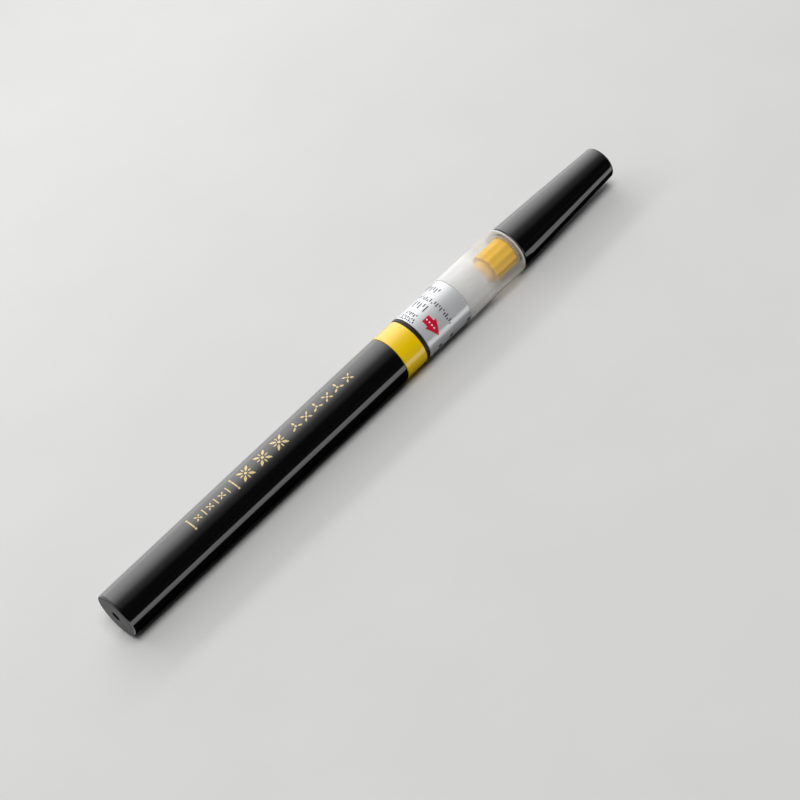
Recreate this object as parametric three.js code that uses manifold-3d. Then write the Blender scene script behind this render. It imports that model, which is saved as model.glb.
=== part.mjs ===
// Refillable cartridge brush pen, new and unused, lying along +X with its cap at the +X end.
//
// Millimetres, +Z up. The origin is under the middle of the pen, on the surface it lies on.
// Each assembly has a group of its own, and every turned outline is a list of [station, radius],
// where the station runs along +X from the group's origin. A radius is measured across the flats
// of the many-sided solid, so flats face straight up and down and the pen rests on one of them.

import * as THREE from 'three';
import { mergeVertices } from 'three/addons/utils/BufferGeometryUtils.js';
import Module from 'manifold-3d';

const wasm = await Module();
wasm.setup();

// ---- Driving dimensions -----------------------------------------------------------------------

// Visible lengths, from the tail to the cap.
const BARREL_LENGTH = 93.8;
const RING_LENGTH = 7.0;
const FLANGE_LENGTH = 1.0;
const LABEL_LENGTH = 15.3;
const FROSTED_LENGTH = 21.1;
const CAP_LENGTH = 36.8;

// Outer radii.
const TAIL_RADIUS = 6.3;
const BARREL_RADIUS = 6.6;
const RING_RADIUS = 6.62;
const FLANGE_RADIUS = 6.58;
const LABEL_RADIUS = 6.64;
const SECTION_RADIUS = 6.7;
const CAP_MOUTH_RADIUS = 6.22;
const CAP_END_RADIUS = 4.68;

// Gaps: a thin line between parts that meet end to end, and the play of parts that fit inside others.
const SEAM = 0.1;
const PLAY = 0.1;

// Barrel.
const TAIL_FILLET = 0.6;
const TAIL_WALL = 2.0;
const TAIL_RECESS_RADIUS = 1.3;
const TAIL_RECESS_DEPTH = 1.2;
const BORE_RADIUS = 5.15;
const STOP_RIB_END = 31.5;
const STOP_RIB_RADIUS = 4.1;
const STOP_RIB_WIDTH = 1.0;
const STOP_RIB_COUNT = 4;

// Screw thread between the neck and the barrel: a round bead in a round groove, right-handed.
const THREAD_PITCH = 2.0;
const BEAD_RADIUS = 0.45;
const GROOVE_RADIUS = 0.62;
const THREAD_BORE_RADIUS = 4.95;
const THREAD_BORE_START = 79.6;
const STEPS_PER_TURN = 18;

// Neck coupling.
const NECK_LENGTH = 14.3;
const NECK_RADIUS = 4.75;
const NECK_BORE_RADIUS = 3.6;
const WEB_LENGTH = 1.4;
const PLUG_LENGTH = 7.2;
const PLUG_RADIUS = 5.0;
const SEAL_RADIUS = 0.5;
const SEAL_STATION = -1.6;
const TUBE_RADIUS = 1.3;
const TUBE_BORE_RADIUS = 0.7;
const TUBE_START = -15.8;
const TUBE_END = 3.2;

// Front section and nose.
const SECTION_BORE_RADIUS = 5.25;
const LABEL_THICKNESS = 0.2;
const SHOULDER_RADIUS = 1.0;
const FRONT_WALL = 0.8;
const SEAT_RADIUS = 4.85;
const SEAT_LENGTH = 8.0;
const SNAP_BEAD_HEIGHT = 0.15;
const NOSE_LENGTH = 12.0;
const NOSE_TIP_RADIUS = 3.4;
const NOSE_HOLLOW_RADIUS = 4.0;
const NOSE_BORE_RADIUS = 2.8;

// Ink buffer, relay core and the yellow holder of the bristles.
const BUFFER_START = 7.7;
const BUFFER_LENGTH = 17.7;
const BUFFER_RADIUS = 4.95;
const SPIGOT_RADIUS = 2.2;
const SPIGOT_LENGTH = 1.7;
const CORE_RADIUS = 0.8;
const CORE_START = 3.5;
const CORE_END = 49.0;
const HOLDER_START = 25.6;
const HOLDER_LENGTH = 13.0;
const HOLDER_COLLAR_LENGTH = 3.1;
const HOLDER_COLLAR_RADIUS = 3.1;
const HOLDER_RADIUS = 3.85;
const HOLDER_RIB_RADIUS = 4.3;
const HOLDER_RIB_WIDTH = 1.5;
const HOLDER_RIB_COUNT = 12;
const POCKET_RADIUS = 2.85;
const POCKET_DEPTH = 6.4;

// Bristles.
const ROOT_THICKNESS = 1.4;
const ROOT_RADIUS = 2.65;
const TUFT_ROOT_RADIUS = 2.2;
const TUFT_BELLY_RADIUS = 2.75;
const TUFT_TIP = 66.2;

// Cap.
const CAP_WALL = 0.9;
const CAP_END_WALL = 1.5;
const CAP_END_ROUNDING = 0.8;
const CAP_CONVEXITY = 1.15;
const INNER_CAP_WALL = 0.6;
const INNER_CAP_START = 9.2;
const INNER_CAP_END = 35.0;

// Ink cartridge.
const CARTRIDGE_START = 32.0;
const TANK_RADIUS = 4.85;
const TANK_WALL = 0.7;
const TANK_LENGTH = 47.0;
const NOZZLE_RADIUS = 3.3;
const NOZZLE_LENGTH = 5.0;
const MOUTH_RADIUS = 2.3;
const BALL_RADIUS = 1.4;
const INK_LEVEL = 2.2;

// Sides of the turned solids: large parts, parts inside the section, and slender parts.
const FACETS = 24;
const INNER_FACETS = 16;
const SLENDER_FACETS = 12;

// ---- Derived stations -------------------------------------------------------------------------

const RING_FRONT = BARREL_LENGTH + RING_LENGTH;
const LABEL_FRONT = FLANGE_LENGTH + LABEL_LENGTH;
const SECTION_FRONT = LABEL_FRONT + FROSTED_LENGTH;
const OVERALL_LENGTH = RING_FRONT + SECTION_FRONT + CAP_LENGTH;

// ---- Materials --------------------------------------------------------------------------------

function plastic(color, roughness) {
  return new THREE.MeshStandardMaterial({ color, roughness, metalness: 0 });
}

const glossBlack = plastic(0x0b0b0c, 0.12);
const mouldedBlack = plastic(0x141415, 0.35);
const yellow = plastic(0xe8cf12, 0.3);
const holderYellow = plastic(0xf0c030, 0.45);
const frosted = plastic(0xdedbd4, 0.5);
const naturalPlastic = plastic(0xe9e7df, 0.45);
const rubber = plastic(0x1a1a1a, 0.8);
const fibre = plastic(0xd8d2c0, 0.95);
const bristle = plastic(0xf1ece0, 0.6);
const ink = plastic(0x08080a, 0.05);
const silverFoil = new THREE.MeshStandardMaterial({ color: 0xc4c5cb, roughness: 0.38, metalness: 0.7 });
const steel = new THREE.MeshStandardMaterial({ color: 0xb9bcc0, roughness: 0.25, metalness: 1 });

// ---- Geometry helpers -------------------------------------------------------------------------

// A solid turned about +X from an outline of [station, radius] points.
function turned(outline, facets = FACETS) {
  const acrossFlats = 1 / Math.cos(Math.PI / facets);
  const points = outline.map(([station, radius]) => new THREE.Vector2(radius * acrossFlats, station));
  return new THREE.LatheGeometry(points, facets, Math.PI / facets).rotateZ(-Math.PI / 2);
}

// A turned solid whose outline goes round a bore and closes on itself.
function turnedRing(outline, facets = FACETS) {
  return turned([...outline, outline[0]], facets);
}

// A plain tube or washer between two stations.
function sleeve(start, end, innerRadius, outerRadius, facets = FACETS) {
  return turnedRing(
    [[start, innerRadius], [start, outerRadius], [end, outerRadius], [end, innerRadius]],
    facets,
  );
}

// Outline points along an arc; angles in degrees from the +X direction.
function arc(station, radius, arcRadius, fromAngle, toAngle, steps) {
  return Array.from({ length: steps + 1 }, (_, i) => {
    const angle = THREE.MathUtils.degToRad(fromAngle + ((toAngle - fromAngle) * i) / steps);
    return [station + arcRadius * Math.cos(angle), radius + arcRadius * Math.sin(angle)];
  });
}

// A rib along +X that stands on the inside or the outside of a tube.
function rib(start, end, innerRadius, outerRadius, width, angle) {
  const height = outerRadius - innerRadius;
  return new THREE.BoxGeometry(end - start, width, height)
    .translate((start + end) / 2, 0, innerRadius + height / 2)
    .rotateX(angle);
}

// Evenly spaced ribs round the axis.
function ribs(count, start, end, innerRadius, outerRadius, width) {
  return Array.from({ length: count }, (_, i) =>
    rib(start, end, innerRadius, outerRadius, width, (2 * Math.PI * i) / count));
}

// The centre line of a screw thread. The bead sinks below the neck over the first and last part
// of its length. Stations count from the neck's flange, which sets the thread's phase.
class ThreadHelix extends THREE.Curve {
  constructor(start, end, radius, runOut) {
    super();
    Object.assign(this, { start, end, radius, runOut });
  }

  getPoint(t, target = new THREE.Vector3()) {
    const station = THREE.MathUtils.lerp(this.start, this.end, t);
    const angle = (2 * Math.PI * station) / THREAD_PITCH;
    const nearEnd = Math.max(0, 1 - Math.min(t, 1 - t) * 8);
    const radius = this.radius - this.runOut * nearEnd;
    return target.set(station, radius * Math.cos(angle), radius * Math.sin(angle));
  }
}

function thread(start, end, radius, beadRadius, runOut) {
  const section = new THREE.Shape().absarc(0, 0, beadRadius, 0, 2 * Math.PI);
  const turns = (end - start) / THREAD_PITCH;
  return new THREE.ExtrudeGeometry(section, {
    extrudePath: new ThreadHelix(start, end, radius, runOut),
    steps: Math.ceil(turns * STEPS_PER_TURN),
    curveSegments: 3,
  });
}

// ---- Boolean joins and cuts -------------------------------------------------------------------

function toManifold(geometry) {
  const bare = geometry.clone();
  bare.deleteAttribute('normal');
  bare.deleteAttribute('uv');
  const merged = mergeVertices(bare, 1e-3);
  const corners = merged.index.array;
  const triVerts = [];
  for (let i = 0; i < corners.length; i += 3) {
    const [a, b, c] = corners.slice(i, i + 3);
    if (a !== b && b !== c && c !== a) triVerts.push(a, b, c);
  }
  return new wasm.Manifold(new wasm.Mesh({
    numProp: 3,
    vertProperties: new Float32Array(merged.attributes.position.array),
    triVerts: new Uint32Array(triVerts),
  }));
}

function toGeometry(manifold) {
  const { vertProperties, triVerts } = manifold.getMesh();
  const geometry = new THREE.BufferGeometry();
  geometry.setAttribute('position', new THREE.BufferAttribute(vertProperties, 3));
  geometry.setIndex(new THREE.BufferAttribute(triVerts, 1));
  geometry.computeVertexNormals();
  return geometry;
}

function joined(geometry, additions) {
  return toGeometry(additions.reduce((sum, piece) => sum.add(toManifold(piece)), toManifold(geometry)));
}

function cut(geometry, cutter) {
  return toGeometry(toManifold(geometry).subtract(toManifold(cutter)));
}

function common(geometry, other) {
  return toGeometry(toManifold(geometry).intersect(toManifold(other)));
}

// ---- Barrel and stopper ring ------------------------------------------------------------------

// The long tube: closed tail with a small recess, stop ribs for the cartridge and a threaded mouth.
function barrel() {
  const tube = turned([
    [TAIL_RECESS_DEPTH, 0],
    [TAIL_RECESS_DEPTH, TAIL_RECESS_RADIUS],
    [0, TAIL_RECESS_RADIUS],
    ...arc(TAIL_FILLET, TAIL_RADIUS - TAIL_FILLET, TAIL_FILLET, 180, 90, 3),
    [BARREL_LENGTH - 0.15, BARREL_RADIUS],
    [BARREL_LENGTH, BARREL_RADIUS - 0.15],
    [BARREL_LENGTH, THREAD_BORE_RADIUS + 0.5],
    [BARREL_LENGTH - 0.5, THREAD_BORE_RADIUS],
    [THREAD_BORE_START, THREAD_BORE_RADIUS],
    [THREAD_BORE_START, BORE_RADIUS],
    [TAIL_WALL, BORE_RADIUS],
    [TAIL_WALL, 0],
  ]);
  const stopRibs = ribs(
    STOP_RIB_COUNT, TAIL_WALL - 0.5, STOP_RIB_END, STOP_RIB_RADIUS, BORE_RADIUS + 0.5, STOP_RIB_WIDTH,
  );
  const grooveStart = THREAD_BORE_START + 0.6 - RING_FRONT;
  const grooveEnd = BARREL_LENGTH + 1.5 - RING_FRONT;
  const groove = thread(grooveStart, grooveEnd, THREAD_BORE_RADIUS, GROOVE_RADIUS, 0);
  return cut(joined(tube, stopRibs), groove.translate(RING_FRONT, 0, 0));
}

// The ring that keeps the section from being screwed home until the pen is first used.
function stopperRing() {
  const start = BARREL_LENGTH + SEAM;
  const end = RING_FRONT - SEAM;
  const innerRadius = NECK_RADIUS + BEAD_RADIUS + 0.3;
  const edge = 0.15;
  return turnedRing([
    [start, innerRadius],
    [start, RING_RADIUS - edge],
    [start + edge, RING_RADIUS],
    [end - edge, RING_RADIUS],
    [end, RING_RADIUS - edge],
    [end, innerRadius],
  ]);
}

// ---- Ink cartridge: stations from its rear end ------------------------------------------------

// A bottle that opens at its nozzle.
function cartridgeTank() {
  const edge = 0.45;
  const mouth = TANK_LENGTH + NOZZLE_LENGTH;
  const innerRadius = TANK_RADIUS - TANK_WALL;
  return turned([
    [0, 0],
    [0, TANK_RADIUS - edge],
    [edge, TANK_RADIUS],
    [TANK_LENGTH - edge, TANK_RADIUS],
    [TANK_LENGTH, TANK_RADIUS - edge],
    [TANK_LENGTH, NOZZLE_RADIUS],
    [mouth, NOZZLE_RADIUS],
    [mouth, MOUTH_RADIUS],
    [TANK_LENGTH - TANK_WALL, MOUTH_RADIUS],
    [TANK_LENGTH - TANK_WALL, innerRadius],
    [TANK_WALL, innerRadius],
    [TANK_WALL, 0],
  ]);
}

// The bush that holds the sealing ball in the cartridge's mouth.
function cartridgePlug() {
  const start = TANK_LENGTH + 0.5;
  const end = TANK_LENGTH + NOZZLE_LENGTH - 0.1;
  return sleeve(start, end, BALL_RADIUS + PLAY, MOUTH_RADIUS - 0.15, SLENDER_FACETS);
}

function sealBall() {
  return new THREE.SphereGeometry(BALL_RADIUS, SLENDER_FACETS, 8)
    .translate(TANK_LENGTH + NOZZLE_LENGTH / 2, 0, 0);
}

// The ink lies level in the tank, with air above it.
function inkCharge() {
  const radius = TANK_RADIUS - TANK_WALL - PLAY;
  const start = TANK_WALL + PLAY;
  const end = TANK_LENGTH - TANK_WALL - PLAY;
  const full = turned([[start, 0], [start, radius], [end, radius], [end, 0]]);
  const below = new THREE.BoxGeometry(2 * TANK_LENGTH, 4 * radius, 4 * radius)
    .translate(TANK_LENGTH / 2, 0, INK_LEVEL - 2 * radius);
  return common(full, below);
}

// ---- Section: stations from the rear face of the neck's flange --------------------------------

// Threaded neck behind the flange, and a plug in front of it that fits the section's bore.
function neckCoupling() {
  const edge = 0.4;
  const groove = SEAL_RADIUS + 0.15;
  const body = turnedRing([
    [-NECK_LENGTH, NECK_BORE_RADIUS],
    [-NECK_LENGTH, NECK_RADIUS - edge],
    [-NECK_LENGTH + edge, NECK_RADIUS],
    [SEAL_STATION - groove, NECK_RADIUS],
    [SEAL_STATION - groove, NECK_RADIUS - SEAL_RADIUS],
    [SEAL_STATION + groove, NECK_RADIUS - SEAL_RADIUS],
    [SEAL_STATION + groove, NECK_RADIUS],
    [0, NECK_RADIUS],
    [0, FLANGE_RADIUS],
    [FLANGE_LENGTH, FLANGE_RADIUS],
    [FLANGE_LENGTH, PLUG_RADIUS],
    [PLUG_LENGTH, PLUG_RADIUS],
    [PLUG_LENGTH, PLUG_RADIUS - 0.8],
    [WEB_LENGTH, PLUG_RADIUS - 0.8],
    [WEB_LENGTH, TUBE_RADIUS + PLAY],
    [0, TUBE_RADIUS + PLAY],
    [0, NECK_BORE_RADIUS],
  ]);
  const beadStart = -NECK_LENGTH + 1.0;
  const beadEnd = -RING_LENGTH - 0.4;
  return joined(body, [thread(beadStart, beadEnd, NECK_RADIUS, BEAD_RADIUS, 2 * BEAD_RADIUS)]);
}

// Rubber ring in the neck's groove.
function neckSeal() {
  const centre = NECK_RADIUS - SEAL_RADIUS + PLAY + SEAL_RADIUS;
  return turned(arc(SEAL_STATION, centre, SEAL_RADIUS, 360, 0, 8));
}

function piercingTube() {
  return turnedRing([
    [TUBE_START, TUBE_BORE_RADIUS],
    [TUBE_START, TUBE_BORE_RADIUS + 0.15],
    [TUBE_START + 1.2, TUBE_RADIUS],
    [TUBE_END, TUBE_RADIUS],
    [TUBE_END, TUBE_BORE_RADIUS],
  ], SLENDER_FACETS);
}

// The frosted shell: a recess for the label, a rounded shoulder, the seat the cap snaps on and
// the nose that the bristles come out of.
function frontSection() {
  const recessRadius = LABEL_RADIUS - LABEL_THICKNESS - 0.05;
  const beadStation = SECTION_FRONT + 3;
  const seatEnd = SECTION_FRONT + SEAT_LENGTH;
  const tip = SECTION_FRONT + NOSE_LENGTH;
  const hollowStart = SECTION_FRONT - FRONT_WALL;
  return turnedRing([
    [FLANGE_LENGTH + SEAM, SECTION_BORE_RADIUS],
    [FLANGE_LENGTH + SEAM, recessRadius],
    [LABEL_FRONT, recessRadius],
    [LABEL_FRONT, SECTION_RADIUS - 0.1],
    [LABEL_FRONT + 0.1, SECTION_RADIUS],
    ...arc(SECTION_FRONT - SHOULDER_RADIUS, SECTION_RADIUS - SHOULDER_RADIUS, SHOULDER_RADIUS, 90, 0, 4),
    [SECTION_FRONT, SEAT_RADIUS],
    [beadStation - 0.5, SEAT_RADIUS],
    [beadStation, SEAT_RADIUS + SNAP_BEAD_HEIGHT],
    [beadStation + 0.5, SEAT_RADIUS],
    [seatEnd, SEAT_RADIUS - 0.1],
    [seatEnd + 0.4, SEAT_RADIUS - 0.7],
    [tip, NOSE_TIP_RADIUS],
    [tip, NOSE_BORE_RADIUS],
    [tip - 1.5, NOSE_BORE_RADIUS],
    [seatEnd - 1.5, NOSE_HOLLOW_RADIUS - 0.2],
    [hollowStart, NOSE_HOLLOW_RADIUS],
    [hollowStart, SECTION_BORE_RADIUS],
  ]);
}

function sectionLabel() {
  return sleeve(FLANGE_LENGTH + SEAM, LABEL_FRONT - 0.05, LABEL_RADIUS - LABEL_THICKNESS, LABEL_RADIUS);
}

// A white fibre body round the relay core. It takes up ink that the cartridge gives too fast, and
// its spigot carries the holder.
function inkBuffer() {
  const edge = 0.2;
  const front = BUFFER_START + BUFFER_LENGTH;
  const boreRadius = CORE_RADIUS + 0.15;
  return turnedRing([
    [BUFFER_START, boreRadius],
    [BUFFER_START, BUFFER_RADIUS - edge],
    [BUFFER_START + edge, BUFFER_RADIUS],
    [front - edge, BUFFER_RADIUS],
    [front, BUFFER_RADIUS - edge],
    [front, SPIGOT_RADIUS],
    [front + SPIGOT_LENGTH, SPIGOT_RADIUS],
    [front + SPIGOT_LENGTH, boreRadius],
  ]);
}

function relayCore() {
  return turned([
    [CORE_START, 0],
    [CORE_START, CORE_RADIUS],
    [CORE_END - 0.6, CORE_RADIUS],
    [CORE_END, CORE_RADIUS - 0.4],
    [CORE_END, 0],
  ], SLENDER_FACETS);
}

// The yellow holder: a collar with a socket for the buffer's spigot, a bore for the relay core and
// a pocket for the root of the bristles. Its ribs stop at the section's front wall, and its plain
// front end goes on into the nose.
function tuftHolder() {
  const end = HOLDER_START + HOLDER_LENGTH;
  const socketEnd = HOLDER_START + 1.8;
  const pocketStart = end - POCKET_DEPTH;
  const ribStart = HOLDER_START + HOLDER_COLLAR_LENGTH;
  const ribEnd = SECTION_FRONT - FRONT_WALL - PLAY;
  const body = turnedRing([
    [HOLDER_START, SPIGOT_RADIUS + 0.2],
    [HOLDER_START, HOLDER_COLLAR_RADIUS],
    [ribStart, HOLDER_COLLAR_RADIUS],
    [ribStart, HOLDER_RADIUS],
    ...arc(end - 0.6, HOLDER_RADIUS - 0.6, 0.6, 90, 0, 2),
    [end, POCKET_RADIUS],
    [pocketStart, POCKET_RADIUS],
    [pocketStart, CORE_RADIUS + 0.2],
    [socketEnd, CORE_RADIUS + 0.2],
    [socketEnd, SPIGOT_RADIUS + 0.2],
  ]);
  const ribRoot = HOLDER_RADIUS - 0.5;
  return joined(body, ribs(
    HOLDER_RIB_COUNT, ribStart, ribEnd, ribRoot, HOLDER_RIB_RADIUS, HOLDER_RIB_WIDTH,
  ));
}

// ---- Bristles ---------------------------------------------------------------------------------

const POCKET_FLOOR = HOLDER_START + HOLDER_LENGTH - POCKET_DEPTH;
const TUFT_START = POCKET_FLOOR + 0.2 + ROOT_THICKNESS + 0.2;

// The bristles' ends, fused into a washer.
function tuftFlange() {
  const start = POCKET_FLOOR + 0.2;
  return sleeve(start, start + ROOT_THICKNESS, CORE_RADIUS + 0.2, ROOT_RADIUS, INNER_FACETS);
}

function tuftBinding() {
  const start = TUFT_START + 0.4;
  return sleeve(start, start + 1.1, TUFT_ROOT_RADIUS + 0.2, ROOT_RADIUS, INNER_FACETS);
}

// The outer shape of the bristles, hollow where the relay core stands in them.
function brushTuft() {
  const hollow = CORE_RADIUS + 0.2;
  const hollowEnd = CORE_END + 0.4;
  const noseTip = SECTION_FRONT + NOSE_LENGTH;
  return turned([
    [hollowEnd, 0],
    [hollowEnd, hollow],
    [TUFT_START, hollow],
    [TUFT_START, TUFT_ROOT_RADIUS],
    [SECTION_FRONT, TUFT_ROOT_RADIUS],
    [noseTip - 1, NOSE_BORE_RADIUS - 0.3],
    [noseTip + 2.6, TUFT_BELLY_RADIUS],
    [noseTip + 6.5, TUFT_BELLY_RADIUS - 0.25],
    [noseTip + 11, 1.6],
    [TUFT_TIP - 2, 0.75],
    [TUFT_TIP, 0],
  ], INNER_FACETS);
}

// ---- Cap: stations from the section's front face ----------------------------------------------

// The cap's outer radius: it tapers to the end, a little convex.
function capRadius(station) {
  const along = station / CAP_LENGTH;
  return CAP_MOUTH_RADIUS - (CAP_MOUTH_RADIUS - CAP_END_RADIUS) * along ** CAP_CONVEXITY;
}

// Points on a surface at a steady depth under the cap's outside.
function capLine(start, end, depth, steps) {
  return Array.from({ length: steps + 1 }, (_, i) => {
    const station = THREE.MathUtils.lerp(start, end, i / steps);
    return [station, capRadius(station) - depth];
  });
}

function capShell() {
  const mouth = 2 * SEAM;
  const edge = 0.15;
  const hollowEnd = CAP_LENGTH - CAP_END_WALL;
  const roundingStart = CAP_LENGTH - CAP_END_ROUNDING;
  return turned([
    [hollowEnd, 0],
    ...capLine(hollowEnd, mouth, CAP_WALL, 3),
    [mouth, capRadius(mouth) - edge],
    ...capLine(mouth + edge, roundingStart, 0, 4),
    ...arc(roundingStart, capRadius(roundingStart) - CAP_END_ROUNDING, CAP_END_ROUNDING, 60, 0, 2),
    [CAP_LENGTH, 0],
  ]);
}

// The liner that closes over the nose and keeps the bristles from drying.
function innerCap() {
  const outside = CAP_WALL + 0.05;
  const inside = outside + INNER_CAP_WALL;
  const hollowEnd = INNER_CAP_END - INNER_CAP_WALL;
  return turned([
    [hollowEnd, 0],
    ...capLine(hollowEnd, INNER_CAP_START, inside, 3),
    ...capLine(INNER_CAP_START, INNER_CAP_END, outside, 3),
    [INNER_CAP_END, 0],
  ]);
}

// ---- Assembly ---------------------------------------------------------------------------------

function assembly(station, pieces) {
  const group = new THREE.Group();
  group.position.x = station;
  for (const [name, geometry, material] of pieces) {
    const mesh = new THREE.Mesh(geometry, material);
    mesh.name = name;
    group.add(mesh);
  }
  return group;
}

const pen = new THREE.Group();
pen.name = 'brush_pen';
pen.position.set(-OVERALL_LENGTH / 2, 0, SECTION_RADIUS);
pen.add(
  assembly(0, [
    ['barrel', barrel(), glossBlack],
    ['stopper_ring', stopperRing(), yellow],
  ]),
  assembly(CARTRIDGE_START, [
    ['cartridge_tank', cartridgeTank(), naturalPlastic],
    ['cartridge_plug', cartridgePlug(), naturalPlastic],
    ['seal_ball', sealBall(), steel],
    ['ink_charge', inkCharge(), ink],
  ]),
  assembly(RING_FRONT, [
    ['neck_coupling', neckCoupling(), mouldedBlack],
    ['neck_seal', neckSeal(), rubber],
    ['piercing_tube', piercingTube(), steel],
    ['front_section', frontSection(), frosted],
    ['section_label', sectionLabel(), silverFoil],
    ['ink_buffer', inkBuffer(), fibre],
    ['relay_core', relayCore(), fibre],
    ['tuft_holder', tuftHolder(), holderYellow],
    ['tuft_flange', tuftFlange(), bristle],
    ['tuft_binding', tuftBinding(), naturalPlastic],
    ['brush_tuft', brushTuft(), bristle],
  ]),
  assembly(RING_FRONT + SECTION_FRONT, [
    ['cap_shell', capShell(), glossBlack],
    ['inner_cap', innerCap(), naturalPlastic],
  ]),
);

export default pen;
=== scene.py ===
# Brush pen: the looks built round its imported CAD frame.
#
# The frame is in metres. Outlines are in millimetres: a station runs along +X from the pen's tail,
# and a radius is measured from the pen's axis. Angles round the axis run from +Y towards +Z.

import math
import random

import bmesh
import bpy
from mathutils import Matrix, Vector


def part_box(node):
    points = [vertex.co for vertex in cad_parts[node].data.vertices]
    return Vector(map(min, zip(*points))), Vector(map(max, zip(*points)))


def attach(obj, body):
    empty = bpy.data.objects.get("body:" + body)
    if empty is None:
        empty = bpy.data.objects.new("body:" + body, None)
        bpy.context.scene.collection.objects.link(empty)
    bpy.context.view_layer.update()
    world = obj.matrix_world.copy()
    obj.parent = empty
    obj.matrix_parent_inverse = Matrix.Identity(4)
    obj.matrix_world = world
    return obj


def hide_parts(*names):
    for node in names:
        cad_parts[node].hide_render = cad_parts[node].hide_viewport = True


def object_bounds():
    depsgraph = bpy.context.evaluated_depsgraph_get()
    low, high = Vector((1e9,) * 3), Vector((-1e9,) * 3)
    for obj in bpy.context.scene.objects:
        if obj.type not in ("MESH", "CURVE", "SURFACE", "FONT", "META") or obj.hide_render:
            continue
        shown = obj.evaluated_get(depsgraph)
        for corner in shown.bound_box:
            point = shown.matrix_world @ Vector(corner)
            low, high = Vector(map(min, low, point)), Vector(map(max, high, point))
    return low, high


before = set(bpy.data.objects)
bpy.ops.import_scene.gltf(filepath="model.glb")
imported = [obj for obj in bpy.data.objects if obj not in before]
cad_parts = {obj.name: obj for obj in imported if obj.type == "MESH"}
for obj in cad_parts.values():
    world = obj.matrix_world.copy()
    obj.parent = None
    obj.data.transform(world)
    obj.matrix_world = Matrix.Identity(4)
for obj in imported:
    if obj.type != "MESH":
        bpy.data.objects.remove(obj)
cad_low, cad_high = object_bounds()

MM = 0.001
TAIL_X = cad_low[0]
AXIS_Z = (cad_low[2] + cad_high[2]) / 2

SEGMENTS = 128
FINE_SEGMENTS = 192


# ---- Where the CAD pieces are ------------------------------------------------------------------

def span(node):
    """First and last station of a CAD node, and its radius across the flats."""
    low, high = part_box(node)
    return (low[0] - TAIL_X) / MM, (high[0] - TAIL_X) / MM, (high[2] - low[2]) / 2 / MM


tail, mouth, barrel_radius = span("barrel")
ring_start, ring_end, ring_radius = span("stopper_ring")
neck_start, plug_end, flange_radius = span("neck_coupling")
label_start, label_end, label_radius = span("section_label")
section_start, nose_tip, section_radius = span("front_section")
tuft_start, tuft_tip, tuft_belly = span("brush_tuft")
cap_mouth, cap_end, _ = span("cap_shell")

NOSE_LENGTH = 12.0
SHOULDER = nose_tip - NOSE_LENGTH
FLANGE_THICKNESS = 1.0
FLANGE_GAP = 0.1
FLANGE_START = label_start - FLANGE_THICKNESS - FLANGE_GAP


def place(station, radius, angle):
    """The point at a station, radius and angle, in metres."""
    return (
        TAIL_X + station * MM,
        radius * MM * math.cos(angle),
        AXIS_Z + radius * MM * math.sin(angle),
    )


def on_camera_side(angle):
    """The angle round the axis for one in degrees that counts up from the -Y side."""
    return math.radians(180 - angle)


# ---- Mesh helpers ------------------------------------------------------------------------------

def make_object(name, vertices, faces, sharp_angle=38):
    """A smooth-shaded mesh whose edges stay sharp over an angle in degrees."""
    mesh = bpy.data.meshes.new(name)
    mesh.from_pydata(vertices, [], faces)
    editing = bmesh.new()
    editing.from_mesh(mesh)
    bmesh.ops.recalc_face_normals(editing, faces=editing.faces)
    editing.to_mesh(mesh)
    editing.free()
    mesh.shade_smooth()
    mesh.set_sharp_from_angle(angle=math.radians(sharp_angle))
    piece = bpy.data.objects.new(name, mesh)
    bpy.context.collection.objects.link(piece)
    return piece


def finish_piece(piece, material, body, nodes=()):
    """Gives a piece its material and body, and hides the CAD nodes that it replaces."""
    piece.data.materials.append(material)
    weighted = piece.modifiers.new("weighted_normals", "WEIGHTED_NORMAL")
    weighted.keep_sharp = True
    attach(piece, body)
    if nodes:
        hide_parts(*nodes)


def softened(corners, closed=True, steps=5):
    """The points of an outline with rounded corners. A corner is (station, radius, fillet)."""
    points = []
    last = len(corners) - 1
    for index, (station, radius, fillet) in enumerate(corners):
        here = Vector((station, radius))
        if fillet == 0 or (not closed and index in (0, last)):
            points.append((station, radius))
            continue
        back = (Vector(corners[index - 1][:2]) - here).normalized()
        ahead = (Vector(corners[(index + 1) % len(corners)][:2]) - here).normalized()
        half = back.angle(ahead) / 2
        reach = fillet / math.tan(half)
        centre = here + (back + ahead).normalized() * fillet / math.sin(half)
        start = here + back * reach - centre
        end = here + ahead * reach - centre
        sweep = start.angle(end)
        for step in range(steps + 1):
            share = step / steps
            spoke = start * math.sin((1 - share) * sweep) + end * math.sin(share * sweep)
            point = centre + spoke / math.sin(sweep)
            points.append((point.x, point.y))
    return points


def evenly(first, last, steps):
    """Evenly spaced values from first to last, both included."""
    return [first + (last - first) * step / steps for step in range(steps + 1)]


def turned(name, outline, closed, segments=SEGMENTS, shape=None):
    """A solid turned round the axis. shape(station, radius, angle) may change the radius.

    A closed outline goes round a bore. An open one starts and ends on the axis.
    """
    vertices = []
    rows = []
    for station, radius in outline:
        if radius < 1e-6:
            rows.append([len(vertices)])
            vertices.append(place(station, 0, 0))
            continue
        row = []
        for column in range(segments):
            angle = 2 * math.pi * column / segments
            local = shape(station, radius, angle) if shape else radius
            row.append(len(vertices))
            vertices.append(place(station, local, angle))
        rows.append(row)
    faces = []
    pairs = list(zip(rows, rows[1:]))
    if closed:
        pairs.append((rows[-1], rows[0]))
    for near, far in pairs:
        for column in range(segments):
            after = (column + 1) % segments
            if len(near) == 1 and len(far) == 1:
                continue
            if len(near) == 1:
                faces.append((near[0], far[column], far[after]))
            elif len(far) == 1:
                faces.append((near[column], far[0], near[after]))
            else:
                faces.append((near[column], far[column], far[after], near[after]))
    return make_object(name, vertices, faces)


ROOT_DEPTH = 0.03


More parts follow.
